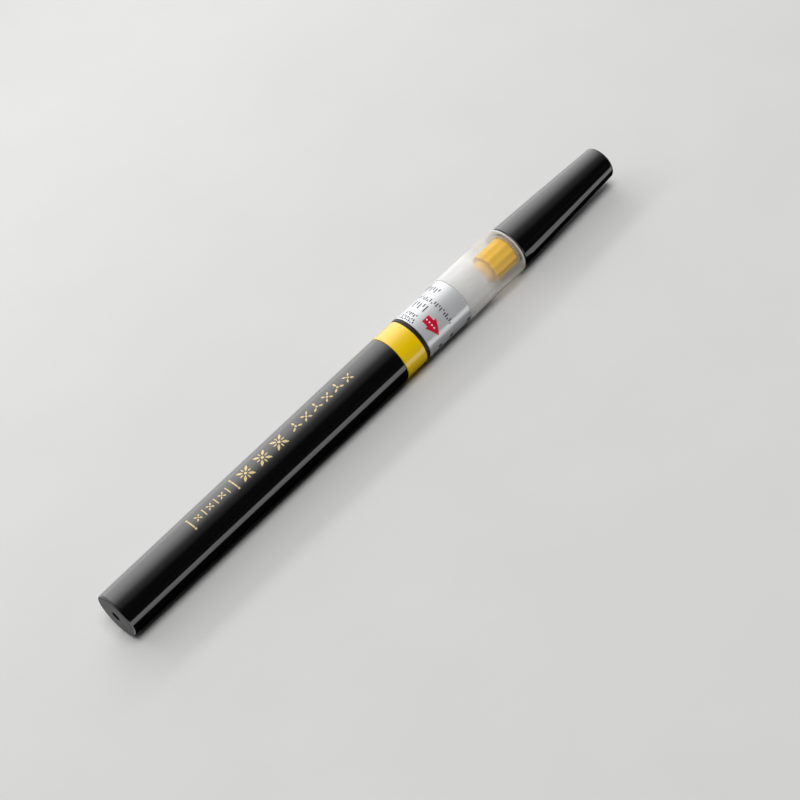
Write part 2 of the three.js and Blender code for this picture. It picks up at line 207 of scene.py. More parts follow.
def raised_shape(rows, surface, lift, columns=4):
    """Vertices and faces of a thin closed skin on a turned surface, rooted a little under it.

    A row is (angle, first station, last station), and surface(station) is the radius it lies on.
    """
    vertices = []
    top = []
    bottom = []
    for layer, height in ((top, lift), (bottom, -ROOT_DEPTH)):
        for angle, first, last in rows:
            line = []
            for column in range(columns + 1):
                station = first + (last - first) * column / columns
                line.append(len(vertices))
                vertices.append(place(station, surface(station) + height, angle))
            layer.append(line)
    faces = []
    for near in range(len(rows) - 1):
        far = near + 1
        for column in range(columns):
            after = column + 1
            faces.append((top[near][column], top[near][after], top[far][after], top[far][column]))
            faces.append((
                bottom[near][column], bottom[far][column],
                bottom[far][after], bottom[near][after],
            ))
        for side in (0, columns):
            faces.append((top[near][side], top[far][side], bottom[far][side], bottom[near][side]))
    for end in (0, len(rows) - 1):
        for column in range(columns):
            after = column + 1
            faces.append((top[end][column], bottom[end][column], bottom[end][after], top[end][after]))
    return vertices, faces


def scanned(polygon, steps):
    """Rows of (around, first, last) across a convex polygon of (along, around) points."""
    lowest = min(around for _, around in polygon)
    highest = max(around for _, around in polygon)
    margin = (highest - lowest) * 1e-4
    rows = []
    for step in range(steps + 1):
        level = lowest + (highest - lowest) * step / steps
        level = min(max(level, lowest + margin), highest - margin)
        crossings = []
        for (near, low), (far, high) in zip(polygon, polygon[1:] + polygon[:1]):
            if (low <= level) != (high <= level):
                crossings.append(near + (far - near) * (level - low) / (high - low))
        rows.append((level, min(crossings), max(crossings)))
    return rows


def stamped(polygon, station, angle, surface, lift, turn=0, steps=8):
    """A thin raised shape: a convex polygon in millimetres, turned and then laid on a surface."""
    cosine = math.cos(math.radians(turn))
    sine = math.sin(math.radians(turn))
    laid = [(x * cosine - y * sine, x * sine + y * cosine) for x, y in polygon]
    rows = []
    for level, first, last in scanned(laid, steps):
        rows.append((angle - level / surface(station), station + first, station + last))
    return raised_shape(rows, surface, lift, columns=3)


def bar(length, width, shift=0):
    """A bar along +X with cut corners, shifted sideways."""
    end = length / 2
    low = shift - width / 2
    high = shift + width / 2
    nip = min(length, width) / 2 * 0.3
    return [
        (-end, low + nip), (-end + nip, low), (end - nip, low), (end, low + nip),
        (end, high - nip), (end - nip, high), (-end + nip, high), (-end, high - nip),
    ]


def disc(radius, shift=0, points=14):
    """A round dot, shifted sideways."""
    outline = []
    for index in range(points):
        turn = 2 * math.pi * index / points
        outline.append((radius * math.cos(turn), shift + radius * math.sin(turn)))
    return outline


def leaf(start, length, width, points=9):
    """A pointed leaf along +X that begins at a distance from its motif's centre."""
    def edge(index, side):
        bulge = math.sin(math.pi * index / points)
        return start + length * index / points, side * width / 2 * bulge

    there = [edge(index, -1) for index in range(points)]
    back = [edge(index, 1) for index in range(points, 0, -1)]
    return there + back


def merged(name, parts):
    """One object from several lists of vertices and faces."""
    vertices = []
    faces = []
    for part_vertices, part_faces in parts:
        offset = len(vertices)
        vertices.extend(part_vertices)
        faces.extend(tuple(corner + offset for corner in face) for face in part_faces)
    return make_object(name, vertices, faces)


# ---- Material helpers --------------------------------------------------------------------------

def new_material(name, colour, roughness, **inputs):
    """A material with its tree and shader. Other inputs are sockets, with _ for each space."""
    material = bpy.data.materials.new(name)
    material.use_nodes = True
    material.diffuse_color = (*colour, 1)
    shader = material.node_tree.nodes["Principled BSDF"]
    shader.inputs["Base Color"].default_value = (*colour, 1)
    shader.inputs["Roughness"].default_value = roughness
    for socket, value in inputs.items():
        shader.inputs[socket.replace("_", " ")].default_value = value
    return material, material.node_tree, shader


def stretched_coordinates(tree, scale=(1, 1, 1)):
    """Object coordinates, scaled along each axis. A scale under 1 draws the pattern out."""
    coordinates = tree.nodes.new("ShaderNodeTexCoord")
    mapping = tree.nodes.new("ShaderNodeMapping")
    mapping.inputs["Scale"].default_value = scale
    tree.links.new(coordinates.outputs["Object"], mapping.inputs["Vector"])
    return mapping.outputs["Vector"]


def separated(tree):
    """The X, Y and Z outputs of the object coordinates."""
    node = tree.nodes.new("ShaderNodeSeparateXYZ")
    tree.links.new(stretched_coordinates(tree), node.inputs["Vector"])
    return node.outputs


def noise(tree, vector, scale, detail=4.0, roughness=0.5):
    """A smooth random value from 0 to 1."""
    node = tree.nodes.new("ShaderNodeTexNoise")
    node.inputs["Scale"].default_value = scale
    node.inputs["Detail"].default_value = detail
    node.inputs["Roughness"].default_value = roughness
    tree.links.new(vector, node.inputs["Vector"])
    return node.outputs["Fac"]


def ramp(tree, factor, stops):
    """Colour ramp: each stop is (position, colour)."""
    node = tree.nodes.new("ShaderNodeValToRGB")
    elements = node.color_ramp.elements
    while len(elements) < len(stops):
        elements.new(0.5)
    for element, (position, colour) in zip(elements, stops):
        element.position = position
        element.color = (*colour, 1)
    tree.links.new(factor, node.inputs["Fac"])
    return node.outputs["Color"]


def grey_ramp(tree, factor, stops):
    """Grey ramp: each stop is (position, brightness)."""
    return ramp(tree, factor, [(position, (grey, grey, grey)) for position, grey in stops])


def spread(tree, factor, low, high, lowest=0.3, highest=0.7):
    """Maps a value that runs from lowest to highest to the range from low to high."""
    node = tree.nodes.new("ShaderNodeMapRange")
    node.inputs["From Min"].default_value = lowest
    node.inputs["From Max"].default_value = highest
    node.inputs["To Min"].default_value = low
    node.inputs["To Max"].default_value = high
    tree.links.new(factor, node.inputs["Value"])
    return node.outputs["Result"]


def calculated(tree, operation, first, second):
    """The result of a Math node. The first input is a socket, the second a socket or a number."""
    node = tree.nodes.new("ShaderNodeMath")
    node.operation = operation
    tree.links.new(first, node.inputs[0])
    if isinstance(second, float):
        node.inputs[1].default_value = second
    else:
        tree.links.new(second, node.inputs[1])
    return node.outputs["Value"]


def shades(colour, darker, lighter):
    """A darker and a lighter shade of a colour."""
    dark = tuple(channel * darker for channel in colour)
    light = tuple(min(1, channel * lighter) for channel in colour)
    return dark, light


def set_tint(tree, shader, factor, dark, light, low=0.3, high=0.7):
    """Base colour between two shades."""
    tint = ramp(tree, factor, ((low, dark), (high, light)))
    tree.links.new(tint, shader.inputs["Base Color"])


def set_gloss(tree, shader, factor, smoothest, roughest):
    """Roughness between two values."""
    gloss = spread(tree, factor, smoothest, min(1, roughest))
    tree.links.new(gloss, shader.inputs["Roughness"])


def add_bump(tree, shader, height, strength, distance):
    """A bump whose full height is a distance in metres."""
    node = tree.nodes.new("ShaderNodeBump")
    node.inputs["Strength"].default_value = strength
    node.inputs["Distance"].default_value = distance
    tree.links.new(height, node.inputs["Height"])
    tree.links.new(node.outputs["Normal"], shader.inputs["Normal"])


def moulded(name, colour, roughness, variation=0.08, grain=900, relief=0.00001, **inputs):
    """Injection-moulded plastic: cloudy colour, uneven gloss and a faint surface grain."""
    material, tree, shader = new_material(name, colour, roughness, **inputs)
    clouds = noise(tree, stretched_coordinates(tree, (0.35, 1, 1)), 140)
    set_tint(tree, shader, clouds, *shades(colour, 1 - variation, 1 + variation))
    flecks = noise(tree, stretched_coordinates(tree, (0.5, 1, 1)), grain, 6)
    set_gloss(tree, shader, flecks, roughness * 0.8, roughness * 1.25)
    add_bump(tree, shader, flecks, 0.35, relief)
    return material


def matt_end(material, limit, comparison):
    """Leaves the flat end of a lacquered piece matt: the gloss stays where X passes the comparison."""
    tree = material.node_tree
    shader = tree.nodes["Principled BSDF"]
    lacquered = calculated(tree, comparison, separated(tree)["X"], limit)
    tree.links.new(lacquered, shader.inputs["Coat Weight"])
    gloss = shader.inputs["Roughness"].links[0].from_socket
    dullness = spread(tree, lacquered, 0.45, 0.0, 0, 1)
    tree.links.new(calculated(tree, "ADD", gloss, dullness), shader.inputs["Roughness"])


# ---- Materials ---------------------------------------------------------------------------------

BLACK = (0.002, 0.002, 0.0023)
LACQUER = {"IOR": 1.8, "Coat_Weight": 1.0, "Coat_Roughness": 0.03, "Coat_IOR": 1.8}
MATT_DEPTH = 0.12 * MM

barrel_black = moulded("black_gloss_barrel", BLACK, 0.09, 0.2, 260, 0.000004, **LACQUER)
cap_black = moulded("black_gloss_cap", BLACK, 0.08, 0.2, 260, 0.000004, **LACQUER)
matt_end(barrel_black, cad_low[0] + MATT_DEPTH, "GREATER_THAN")
matt_end(cap_black, cad_high[0] - MATT_DEPTH, "LESS_THAN")

neck_black = moulded("black_satin_neck", (0.018, 0.018, 0.019), 0.34)
ring_yellow = moulded("yellow_ring", (1.0, 0.65, 0.002), 0.2, 0.03, 500, 0.000003, **LACQUER)
holder_yellow = moulded("yellow_holder", (0.87, 0.50, 0.006), 0.42, 0.06)
natural = moulded("natural_plastic", (0.78, 0.77, 0.72), 0.4, 0.05)
liner_plastic = moulded("liner_plastic", (0.72, 0.71, 0.68), 0.45, 0.05)
seal_rubber = moulded("seal_rubber", (0.014, 0.014, 0.014), 0.7, 0.2, 2500, 0.00003)
ink_black = moulded("black_ink", (0.004, 0.004, 0.005), 0.05, 0.2, 120, 0.000008)
steel = moulded("bright_steel", (0.6, 0.61, 0.63), 0.22, 0.05, 1500, 0.000004, Metallic=1.0)


def axis_distance(tree, axes):
    """Distance from the pen's axis, in metres."""
    across = tree.nodes.new("ShaderNodeCombineXYZ")
    tree.links.new(axes["Y"], across.inputs["Y"])
    tree.links.new(calculated(tree, "SUBTRACT", axes["Z"], AXIS_Z), across.inputs["Z"])
    distance = tree.nodes.new("ShaderNodeVectorMath")
    distance.operation = "LENGTH"
    tree.links.new(across.outputs["Vector"], distance.inputs["Vector"])
    return distance.outputs["Value"]


# The frosted wall's extra opacity at stations along it. Only the surface outside one radius, or
# past the nose's station, is drawn at all.
WALL_FIRST = 120.0
WALL_LAST = 150.0
WALL_MILKINESS = ((125.7, 0.4), (129.3, 0.0), (136.8, 0.0), (137.7, 0.45))
OUTER_SKIN_RADIUS = 5.6
NOSE_STATION = 137.3


def frosted_plastic():
    """Milky plastic: denser at grazing angles, and clearer where only a thin wall covers the holder.

    Frosting blurs what lies behind it, so the bore's own surface never shows through the wall.
    """
    material, tree, shader = new_material(
        "frosted_section", (0.84, 0.835, 0.82), 0.3, IOR=1.4,
        Coat_Weight=0.8, Coat_Roughness=0.12, Coat_IOR=1.7,
        Subsurface_Weight=0.6, Subsurface_Scale=0.003, Subsurface_Radius=(1, 1, 1),
    )
    clouds = noise(tree, stretched_coordinates(tree, (0.4, 1, 1)), 160)
    set_tint(tree, shader, clouds, (0.82, 0.815, 0.80), (0.86, 0.855, 0.84))
    flecks = noise(tree, stretched_coordinates(tree), 1800, 3)
    set_gloss(tree, shader, flecks, 0.26, 0.36)
    add_bump(tree, shader, flecks, 0.3, 0.000006)

    grazing = tree.nodes.new("ShaderNodeLayerWeight")
    grazing.inputs["Blend"].default_value = 0.35
    edges = spread(tree, grazing.outputs["Facing"], 0.09, 0.95, 0.15, 0.9)
    axes = separated(tree)
    along = spread(tree, axes["X"], 0, 1, TAIL_X + WALL_FIRST * MM, TAIL_X + WALL_LAST * MM)
    wall = grey_ramp(tree, along, [
        ((station - WALL_FIRST) / (WALL_LAST - WALL_FIRST), milkiness)
        for station, milkiness in WALL_MILKINESS
    ])
    milk = calculated(tree, "ADD", edges, wall)
    milk.node.use_clamp = True

    skin = calculated(tree, "GREATER_THAN", axis_distance(tree, axes), OUTER_SKIN_RADIUS * MM)
    nose = calculated(tree, "GREATER_THAN", axes["X"], TAIL_X + NOSE_STATION * MM)
    shown = calculated(tree, "MAXIMUM", skin, nose)
    tree.links.new(calculated(tree, "MULTIPLY", milk, shown), shader.inputs["Alpha"])
    return material


def silver_film():
    """Silver foil with a clear film over it, faintly streaked along the pen."""
    material, tree, shader = new_material(
        "silver_label", (0.90, 0.91, 0.93), 0.24,
        Metallic=0.45, Coat_Weight=1.0, Coat_Roughness=0.06, Coat_IOR=1.8,
    )
    streaks = noise(tree, stretched_coordinates(tree, (0.1, 1, 1)), 900, 3)
    set_tint(tree, shader, streaks, (0.89, 0.90, 0.92), (0.91, 0.92, 0.94))
    flecks = noise(tree, stretched_coordinates(tree), 5000, 2)
    set_gloss(tree, shader, flecks, 0.23, 0.25)
    add_bump(tree, shader, flecks, 0.1, 0.000001)
    return material


def printing(name, colour, roughness, metallic=0.0):
    """A printed or foil-stamped layer, a little broken up by the grain under it."""
    material, tree, shader = new_material(name, colour, roughness, Metallic=metallic)
    flecks = noise(tree, stretched_coordinates(tree), 6500, 5)
    set_tint(tree, shader, flecks, *shades(colour, 0.8, 1.15), 0.35, 0.65)
    set_gloss(tree, shader, flecks, roughness * 0.85, roughness * 1.2)
    add_bump(tree, shader, flecks, 0.3, 0.000006)
    return material


def fibrous(name, colour, roughness, stretch, **inputs):
    """Fine fibres along the pen, each with its own shade."""
    material, tree, shader = new_material(name, colour, roughness, **inputs)
    strands = noise(tree, stretched_coordinates(tree, (stretch, 1, 1)), 5200, 5, 0.6)
    set_tint(tree, shader, strands, *shades(colour, 0.8, 1.12), 0.3, 0.68)
    set_gloss(tree, shader, strands, roughness * 0.8, roughness * 1.2)
    add_bump(tree, shader, strands, 0.6, 0.00003)
    return material


section_frosted = frosted_plastic()
label_silver = silver_film()
label_red = printing("label_red", (0.60, 0.006, 0.035), 0.4)
label_dark = printing("label_dark_print", (0.035, 0.035, 0.04), 0.45)
label_pale = printing("label_pale_print", (0.85, 0.72, 0.74), 0.45)
gold_foil = printing("gold_foil", (0.86, 0.66, 0.34), 0.35, 0.3)
buffer_fibre = fibrous(
    "buffer_fibre", (0.77, 0.765, 0.745), 0.8, 0.05,
    Subsurface_Weight=0.9, Subsurface_Scale=0.005, Subsurface_Radius=(1, 1, 1),
)
relay_fibre = fibrous("relay_fibre", (0.74, 0.70, 0.60), 0.9, 0.04)
bristle_fibre = fibrous("bristle_fibre", (0.86, 0.82, 0.73), 0.42, 0.02, Subsurface_Weight=0.15)


# ---- Barrel and stopper ring -------------------------------------------------------------------

TAIL_RADIUS = 6.3
TAIL_WALL = 2.0
RECESS_RADIUS = 1.3
RECESS_DEPTH = 1.2
BORE_RADIUS = 5.15
THREAD_BORE_RADIUS = 4.95
THREAD_BORE_LENGTH = 14.2
GROOVE_LENGTH = 13.6
GROOVE_RADIUS = 0.6
GROOVE_DEPTH_SHARE = 0.95
MOUTH_CHAMFER = 0.5
THREAD_PITCH = 2.0
RING_BORE_RADIUS = 5.5
FOIL_LIFT = 0.012


def barrel_surface(station):
    """The barrel's outer radius, which grows a little from tail to mouth."""
    return TAIL_RADIUS + (barrel_radius - TAIL_RADIUS) * (station - tail) / (mouth - tail)


def thread_distance(station, angle):
    """Distance along the axis to the nearest turn of the screw thread."""
    turn = (station - FLANGE_START) / THREAD_PITCH - angle / (2 * math.pi)
    return (turn - round(turn)) * THREAD_PITCH


def round_profile(distance, radius):
    """Height of a round bead at a distance from its middle."""
    return math.sqrt(max(0, radius * radius - distance * distance))


def barrel_shape(station, radius, angle):
    """The screw thread's groove in the barrel's mouth."""
    if radius > THREAD_BORE_RADIUS + 0.001 or station < mouth - GROOVE_LENGTH:
        return radius
    groove = round_profile(thread_distance(station, angle), GROOVE_RADIUS)
    return radius + groove * GROOVE_DEPTH_SHARE


def build_barrel():
    outline = softened((
        (tail + RECESS_DEPTH, 0, 0),
        (tail + RECESS_DEPTH, RECESS_RADIUS, 0.15),
        (tail, RECESS_RADIUS, 0.12),
        (tail, TAIL_RADIUS, 0.6),
        (mouth, barrel_radius, 0.15),
        (mouth, THREAD_BORE_RADIUS + MOUTH_CHAMFER, 0),
        (mouth - MOUTH_CHAMFER, THREAD_BORE_RADIUS, 0),
    ), closed=False)
    bore_start = mouth - THREAD_BORE_LENGTH
    for station in evenly(mouth - MOUTH_CHAMFER, bore_start, 110)[1:]:
        outline.append((station, THREAD_BORE_RADIUS))
    outline.append((bore_start, BORE_RADIUS))
    outline.append((tail + TAIL_WALL, BORE_RADIUS))
    outline.append((tail + TAIL_WALL, 0))
    piece = turned("barrel_shell", outline, closed=False, segments=FINE_SEGMENTS, shape=barrel_shape)
    finish_piece(piece, barrel_black, "barrel", ["barrel"])


def build_ring():
    outline = softened((
        (ring_start, RING_BORE_RADIUS, 0.1),
        (ring_start, ring_radius, 0.14),
        (ring_end, ring_radius, 0.14),
        (ring_end, RING_BORE_RADIUS, 0.1),
    ))
    piece = turned("stopper_ring_body", outline, closed=True, segments=FINE_SEGMENTS)
    finish_piece(piece, ring_yellow, "ring", ["stopper_ring"])


def build_gold():
    """Gold foil along the barrel: six sprigs, three rosettes, and six small marks between bars."""
    top = on_camera_side(82)
    diagonals = (45, 135, 225, 315)
    parts = []

    def add(polygon, station, turn=0):
        parts.append(stamped(polygon, station, top, barrel_surface, FOIL_LIFT, turn))

    first_sprig = 62.4
    sprig_pitch = 3.65
    for index in range(6):
        station = first_sprig + sprig_pitch * index
        add(disc(0.3), station)
        if index % 2:
            for turn in diagonals:
                add(leaf(0.42, 1.2, 0.5), station, turn)
        else:
            for turn in (90, 210, 330):
                add(leaf(0.42, 1.35, 0.56), station, turn)

    for station in (45.2, 50.9, 56.6):
        add(disc(0.4), station)
        for turn in range(0, 360, 90):
            add(leaf(0.6, 1.95, 0.72), station, turn + 45)
            add(leaf(0.65, 1.25, 0.38), station, turn)

    for station in (26.9, 41.3):
        add(bar(0.36, 2.7), station)
        add(disc(0.3, 1.75), station)
        add(disc(0.3, -1.75), station)

    first_mark = 29.3
    mark_pitch = 1.96
    for index in range(6):
        station = first_mark + mark_pitch * index
        if index % 2:
            add(bar(0.3, 2.2), station)
        else:
            for turn in diagonals:
                add(leaf(0.22, 0.95, 0.42), station, turn)
            add(disc(0.18), station)

    foil = merged("gold_ornament", parts)
    finish_piece(foil, gold_foil, "barrel")


build_barrel()
build_ring()
build_gold()


# ---- Cartridge ---------------------------------------------------------------------------------

def build_cartridge():
    """The bottle with its neck, the bush in that neck, and the ball that seals it."""
    start, end, radius = span("cartridge_tank")
    shoulder = end - 5.0
    neck_radius = 3.3
    neck_bore = 2.3
    wall = 0.7
    outline = softened((
        (start, 0, 0),
        (start, radius, 0.5),
        (shoulder, radius, 0.6),
        (shoulder, neck_radius, 0.3),
        (end, neck_radius, 0.15),
        (end, neck_bore, 0.1),
        (shoulder - wall, neck_bore, 0.1),
        (shoulder - wall, radius - wall, 0.3),
        (start + wall, radius - wall, 0.3),
        (start + wall, 0, 0),
    ), closed=False)
    tank = turned("cartridge_bottle", outline, closed=False, segments=96)
    finish_piece(tank, natural, "barrel", ["cartridge_tank"])

    start, end, radius = span("cartridge_plug")
    bore = 1.5
    outline = softened((
        (start, bore, 0.1),
        (start, radius, 0.2),
        (end, radius, 0.1),
        (end, bore, 0.3),
    ))
    bush = turned("cartridge_bush", outline, closed=True, segments=64)
    finish_piece(bush, natural, "barrel", ["cartridge_plug"])

    start, end, radius = span("seal_ball")
    centre = (start + end) / 2
    outline = []
    for angle in evenly(0, math.pi, 24):
        outline.append((centre - radius * math.cos(angle), radius * math.sin(angle)))
    ball = turned("sealing_ball", outline, closed=False, segments=48)
    finish_piece(ball, steel, "barrel", ["seal_ball"])


def build_ink():
    """The ink lies level in the cartridge, and curves up a little where it meets the wall."""
    start, end, _ = span("ink_charge")
    low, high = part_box("ink_charge")
    radius = (AXIS_Z - low[2]) / MM
    level = (high[2] - AXIS_Z) / MM
    edge = math.asin(level / radius)
    bevel = 0.15
    dip_depth = 0.22
    around = 60
    across = 24
    vertices = []
    rings = []
    for station, inset in ((start, bevel), (start + bevel, 0), (end - bevel, 0), (end, bevel)):
        ring = []
        for step in range(around + 1):
            angle = math.pi - edge + (math.pi + 2 * edge) * step / around
            ring.append((
                station,
                (radius - inset) * math.cos(angle),
                (radius - inset) * math.sin(angle),
            ))
        half = ring[-1][1]
        for step in range(1, across):
            share = 1 - 2 * step / across
            dip = dip_depth * (1 - abs(share) ** 6)
            ring.append((station, half * share, ring[around][2] - dip))
        rings.append(range(len(vertices), len(vertices) + len(ring)))
        vertices.extend((TAIL_X + x * MM, y * MM, AXIS_Z + z * MM) for x, y, z in ring)
    faces = [tuple(rings[0]), tuple(reversed(rings[-1]))]
    for near, far in zip(rings, rings[1:]):
        for column, corner in enumerate(near):
            after = (column + 1) % len(near)
            faces.append((corner, near[after], far[after], far[column]))
    piece = make_object("ink_pool", vertices, faces)
    finish_piece(piece, ink_black, "barrel", ["ink_charge"])


build_cartridge()
build_ink()


# ---- Neck --------------------------------------------------------------------------------------

NECK_RADIUS = 4.75
NECK_BORE = 3.6
NECK_CHAMFER = 0.4
BEAD_RADIUS = 0.44
BEAD_RUN_OUT = 0.7
PLUG_RADIUS = 5.0
PLUG_BORE = 4.2
TUBE_HOLE = 1.4
WEB_THICKNESS = 1.4
SEAL_CENTRE = FLANGE_START - 1.6
SEAL_RADIUS = 0.49
SEAL_GROOVE = (SEAL_CENTRE - 0.65, SEAL_CENTRE + 0.65)
GROOVE_FLOOR = NECK_RADIUS - 0.5


def neck_shape(station, radius, angle):
    """The screw thread's bead on the neck, which fades out at both ends."""
    bead_start = neck_start + 1.0
    bead_end = FLANGE_START - 7.4
    if abs(radius - NECK_RADIUS) > 0.001 or not bead_start < station < bead_end:
        return radius
    run_out = min(1, (station - bead_start) / BEAD_RUN_OUT, (bead_end - station) / BEAD_RUN_OUT)
    bead = round_profile(thread_distance(station, angle), BEAD_RADIUS)
    return radius + bead * run_out


def build_neck():
    """The threaded neck with its groove, flange and plug, which goes into the frosted section."""
    flange_end = FLANGE_START + FLANGE_THICKNESS
    web_end = FLANGE_START + WEB_THICKNESS
    outline = softened((
        (web_end, TUBE_HOLE, 0),
        (FLANGE_START, TUBE_HOLE, 0),
        (FLANGE_START, NECK_BORE, 0),
        (neck_start, NECK_BORE, 0.1),
        (neck_start, NECK_RADIUS - NECK_CHAMFER, 0),
        (neck_start + NECK_CHAMFER, NECK_RADIUS, 0),
    ), closed=False)
    thread_end = FLANGE_START - 7.0
    for station in evenly(neck_start + NECK_CHAMFER, thread_end, 80)[1:]:
        outline.append((station, NECK_RADIUS))
    outline += softened((
        (thread_end, NECK_RADIUS, 0),
        (SEAL_GROOVE[0], NECK_RADIUS, 0.08),
        (SEAL_GROOVE[0], GROOVE_FLOOR, 0.08),
        (SEAL_GROOVE[1], GROOVE_FLOOR, 0.08),
        (SEAL_GROOVE[1], NECK_RADIUS, 0.08),
        (FLANGE_START, NECK_RADIUS, 0.15),
        (FLANGE_START, flange_radius, 0.12),
        (flange_end, flange_radius, 0.12),
        (flange_end, PLUG_RADIUS, 0),
        (plug_end, PLUG_RADIUS, 0.3),
        (plug_end, PLUG_BORE, 0.2),
        (web_end, PLUG_BORE, 0.2),
        (web_end, TUBE_HOLE, 0),
    ), closed=False)[1:-1]
    piece = turned("neck_body", outline, closed=True, segments=FINE_SEGMENTS, shape=neck_shape)
    finish_piece(piece, neck_black, "section", ["neck_coupling"])


def build_neck_seal():
    outline = []
    for angle in evenly(0, 2 * math.pi, 20)[:-1]:
        along = SEAL_CENTRE + SEAL_RADIUS * math.cos(angle)
        outline.append((along, NECK_RADIUS + 0.1 + SEAL_RADIUS * math.sin(angle)))
    seal = turned("neck_seal_ring", outline, closed=True, segments=96)
    finish_piece(seal, seal_rubber, "section", ["neck_seal"])


def build_piercing_tube():
    start, end, radius = span("piercing_tube")
    bore = 0.7
    outline = softened((
        (start, bore, 0),
        (start, 0.86, 0),
        (start + 1.3, radius, 0.4),
        (end, radius, 0.1),
        (end, bore, 0.05),
    ))
    tube = turned("ink_tube", outline, closed=True, segments=48)
    finish_piece(tube, steel, "section", ["piercing_tube"])


build_neck()
build_neck_seal()
build_piercing_tube()


# ---- Frosted section and its label -------------------------------------------------------------

SEAT_RADIUS = 4.85
SECTION_BORE = 5.25
NOSE_BORE = 2.8
LABEL_MARGIN = 0.02
LABEL_FACE = label_radius - 0.02
LABEL_BACK = label_radius - 0.2


def build_section():
    """The frosted shell: a recess for the label, a round shoulder, the cap's seat and the nose."""
    recess = label_radius - 0.25
    recess_end = label_end + 0.05
    seat_end = SHOULDER + 8.0
    outline = softened((
        (section_start, SECTION_BORE, 0.1),
        (section_start, recess, 0.05),
        (recess_end, recess, 0),
        (recess_end, section_radius, 0.1),
        (SHOULDER, section_radius, 1.0),
        (SHOULDER, SEAT_RADIUS, 0.15),
        (SHOULDER + 2.5, SEAT_RADIUS, 0),
        (SHOULDER + 3.0, SEAT_RADIUS + 0.14, 0.3),
        (SHOULDER + 3.5, SEAT_RADIUS, 0),
        (seat_end, SEAT_RADIUS - 0.1, 0.3),
        (seat_end + 0.4, SEAT_RADIUS - 0.7, 0.2),
        (nose_tip, 3.4, 0.25),
        (nose_tip, NOSE_BORE, 0.12),
        (nose_tip - 1.5, NOSE_BORE, 0.3),
        (seat_end - 1.5, 3.8, 0.3),
        (SHOULDER - 0.8, 4.0, 0.2),
        (SHOULDER - 0.8, SECTION_BORE, 0.3),
    ))
    piece = turned("frosted_shell", outline, closed=True, segments=FINE_SEGMENTS)
    finish_piece(piece, section_frosted, "section", ["front_section"])


def label_surface(station):
    """The label's outer radius, the same all along it."""
    return LABEL_FACE


def build_label():
    outline = softened((
        (label_start + LABEL_MARGIN, LABEL_BACK, 0),
        (label_start + LABEL_MARGIN, LABEL_FACE, 0.06),
        (label_end - LABEL_MARGIN, LABEL_FACE, 0.06),
        (label_end - LABEL_MARGIN, LABEL_BACK, 0),
    ))
    sleeve = turned("label_sleeve", outline, closed=True, segments=FINE_SEGMENTS)
    finish_piece(sleeve, label_silver, "section", ["section_label"])


def build_label_arrow():
    """A red arrow that points down round the camera's side of the pen, with four pale pips."""
    centre = label_start + 3.95
    shaft_start = 58.8
    barbs = 42.6
    tip = 9.2
    shaft_half = 1.2
    head_half = 1.96
    rows = []
    for angle in evenly(shaft_start, barbs + 0.1, 6):
        rows.append((on_camera_side(angle), centre - shaft_half, centre + shaft_half))
    for angle in evenly(barbs, tip, 12):
        half = head_half * (angle - tip) / (barbs - tip) + 0.02
        rows.append((on_camera_side(angle), centre - half, centre + half))
    arrow = merged("label_arrow", [raised_shape(rows, label_surface, 0.018)])
    finish_piece(arrow, label_red, "section")

    dots = []
    for angle in (54, 46, 38, 30):
        dots.append(stamped(disc(0.24), centre, on_camera_side(angle), label_surface, 0.026))
    pips = merged("label_arrow_pips", dots)
    finish_piece(pips, label_pale, "section")


def build_label_strokes():
    """Rows of plain strokes where the label has print, and three squares lower down.

    A row is its distance from the label's start, the angles it runs between, its pitch in
    degrees, and the lengths that its strokes take in turn.
    """
    lift = 0.016
    strokes = []
    for offset, high, low, pitch, lengths in (
        (0.75, 110, 68, 5.6, (0.42, 0.7, 0.3, 0.6)),
        (1.55, 107, 72, 5.6, (0.6, 0.3, 0.5)),
        (2.75, 104, 72, 5.6, (0.9, 0.5, 1.1, 0.7)),
        (5.95, 108, 66, 8.4, (2.3, 1.3, 2.0, 1.1)),
        (8.65, 112, 12, 6.2, (1.1, 0.5, 0.9, 1.3, 0.6)),
        (11.9, 122, 80, 7.6, (1.7, 0.9, 1.9, 1.2)),
    ):
        angle = high
        index = 0
        while angle >= low:
            length = lengths[index % len(lengths)]
            shape = bar(length, 0.32) if length > 0.35 else disc(0.2)
            side = 0.5 * (max(lengths) - length) * (1 if index % 2 else -1)
            station = label_start + offset + side
            around = on_camera_side(angle)
            strokes.append(stamped(shape, station, around, label_surface, lift, steps=3))
            angle -= pitch
            index += 1
    for offset in (3.5, 7.6, 14.0):
        station = label_start + offset
        strokes.append(stamped(bar(1.1, 1.1), station, on_camera_side(-21), label_surface, lift))
    words = merged("label_strokes", strokes)
    finish_piece(words, label_dark, "section")


build_section()
build_label()
build_label_arrow()
build_label_strokes()


# ---- Inside the section: ink buffer, relay core and holder -------------------------------------

def build_feed():
    """The fibre ink buffer with its spigot, and the rod that carries the ink on to the bristles."""
    start, end, radius = span("ink_buffer")
    front = end - 1.7
    hole = 0.95
    spigot_radius = 2.2
    band = 1.2
    waist = radius - 0.04
    outline = softened((
        (start, hole, 0),
        (start, radius, 0.3),
        (start + band, radius, 0.1),
        (start + band + 0.05, waist, 0),
        (front - band - 0.05, waist, 0),
        (front - band, radius, 0.1),
        (front, radius, 0.3),
        (front, spigot_radius, 0.1),
        (end, spigot_radius, 0.2),
        (end, hole, 0),
    ))
    body = turned("buffer_body", outline, closed=True)
    finish_piece(body, buffer_fibre, "section", ["ink_buffer"])

    start, end, radius = span("relay_core")
    outline = softened((
        (start, 0, 0),
        (start, radius, 0.1),
        (end - 0.6, radius, 0.3),
        (end, radius - 0.4, 0.1),
        (end, 0, 0),
    ), closed=False)
    rod = turned("relay_rod", outline, closed=False, segments=32)
    finish_piece(rod, relay_fibre, "section", ["relay_core"])


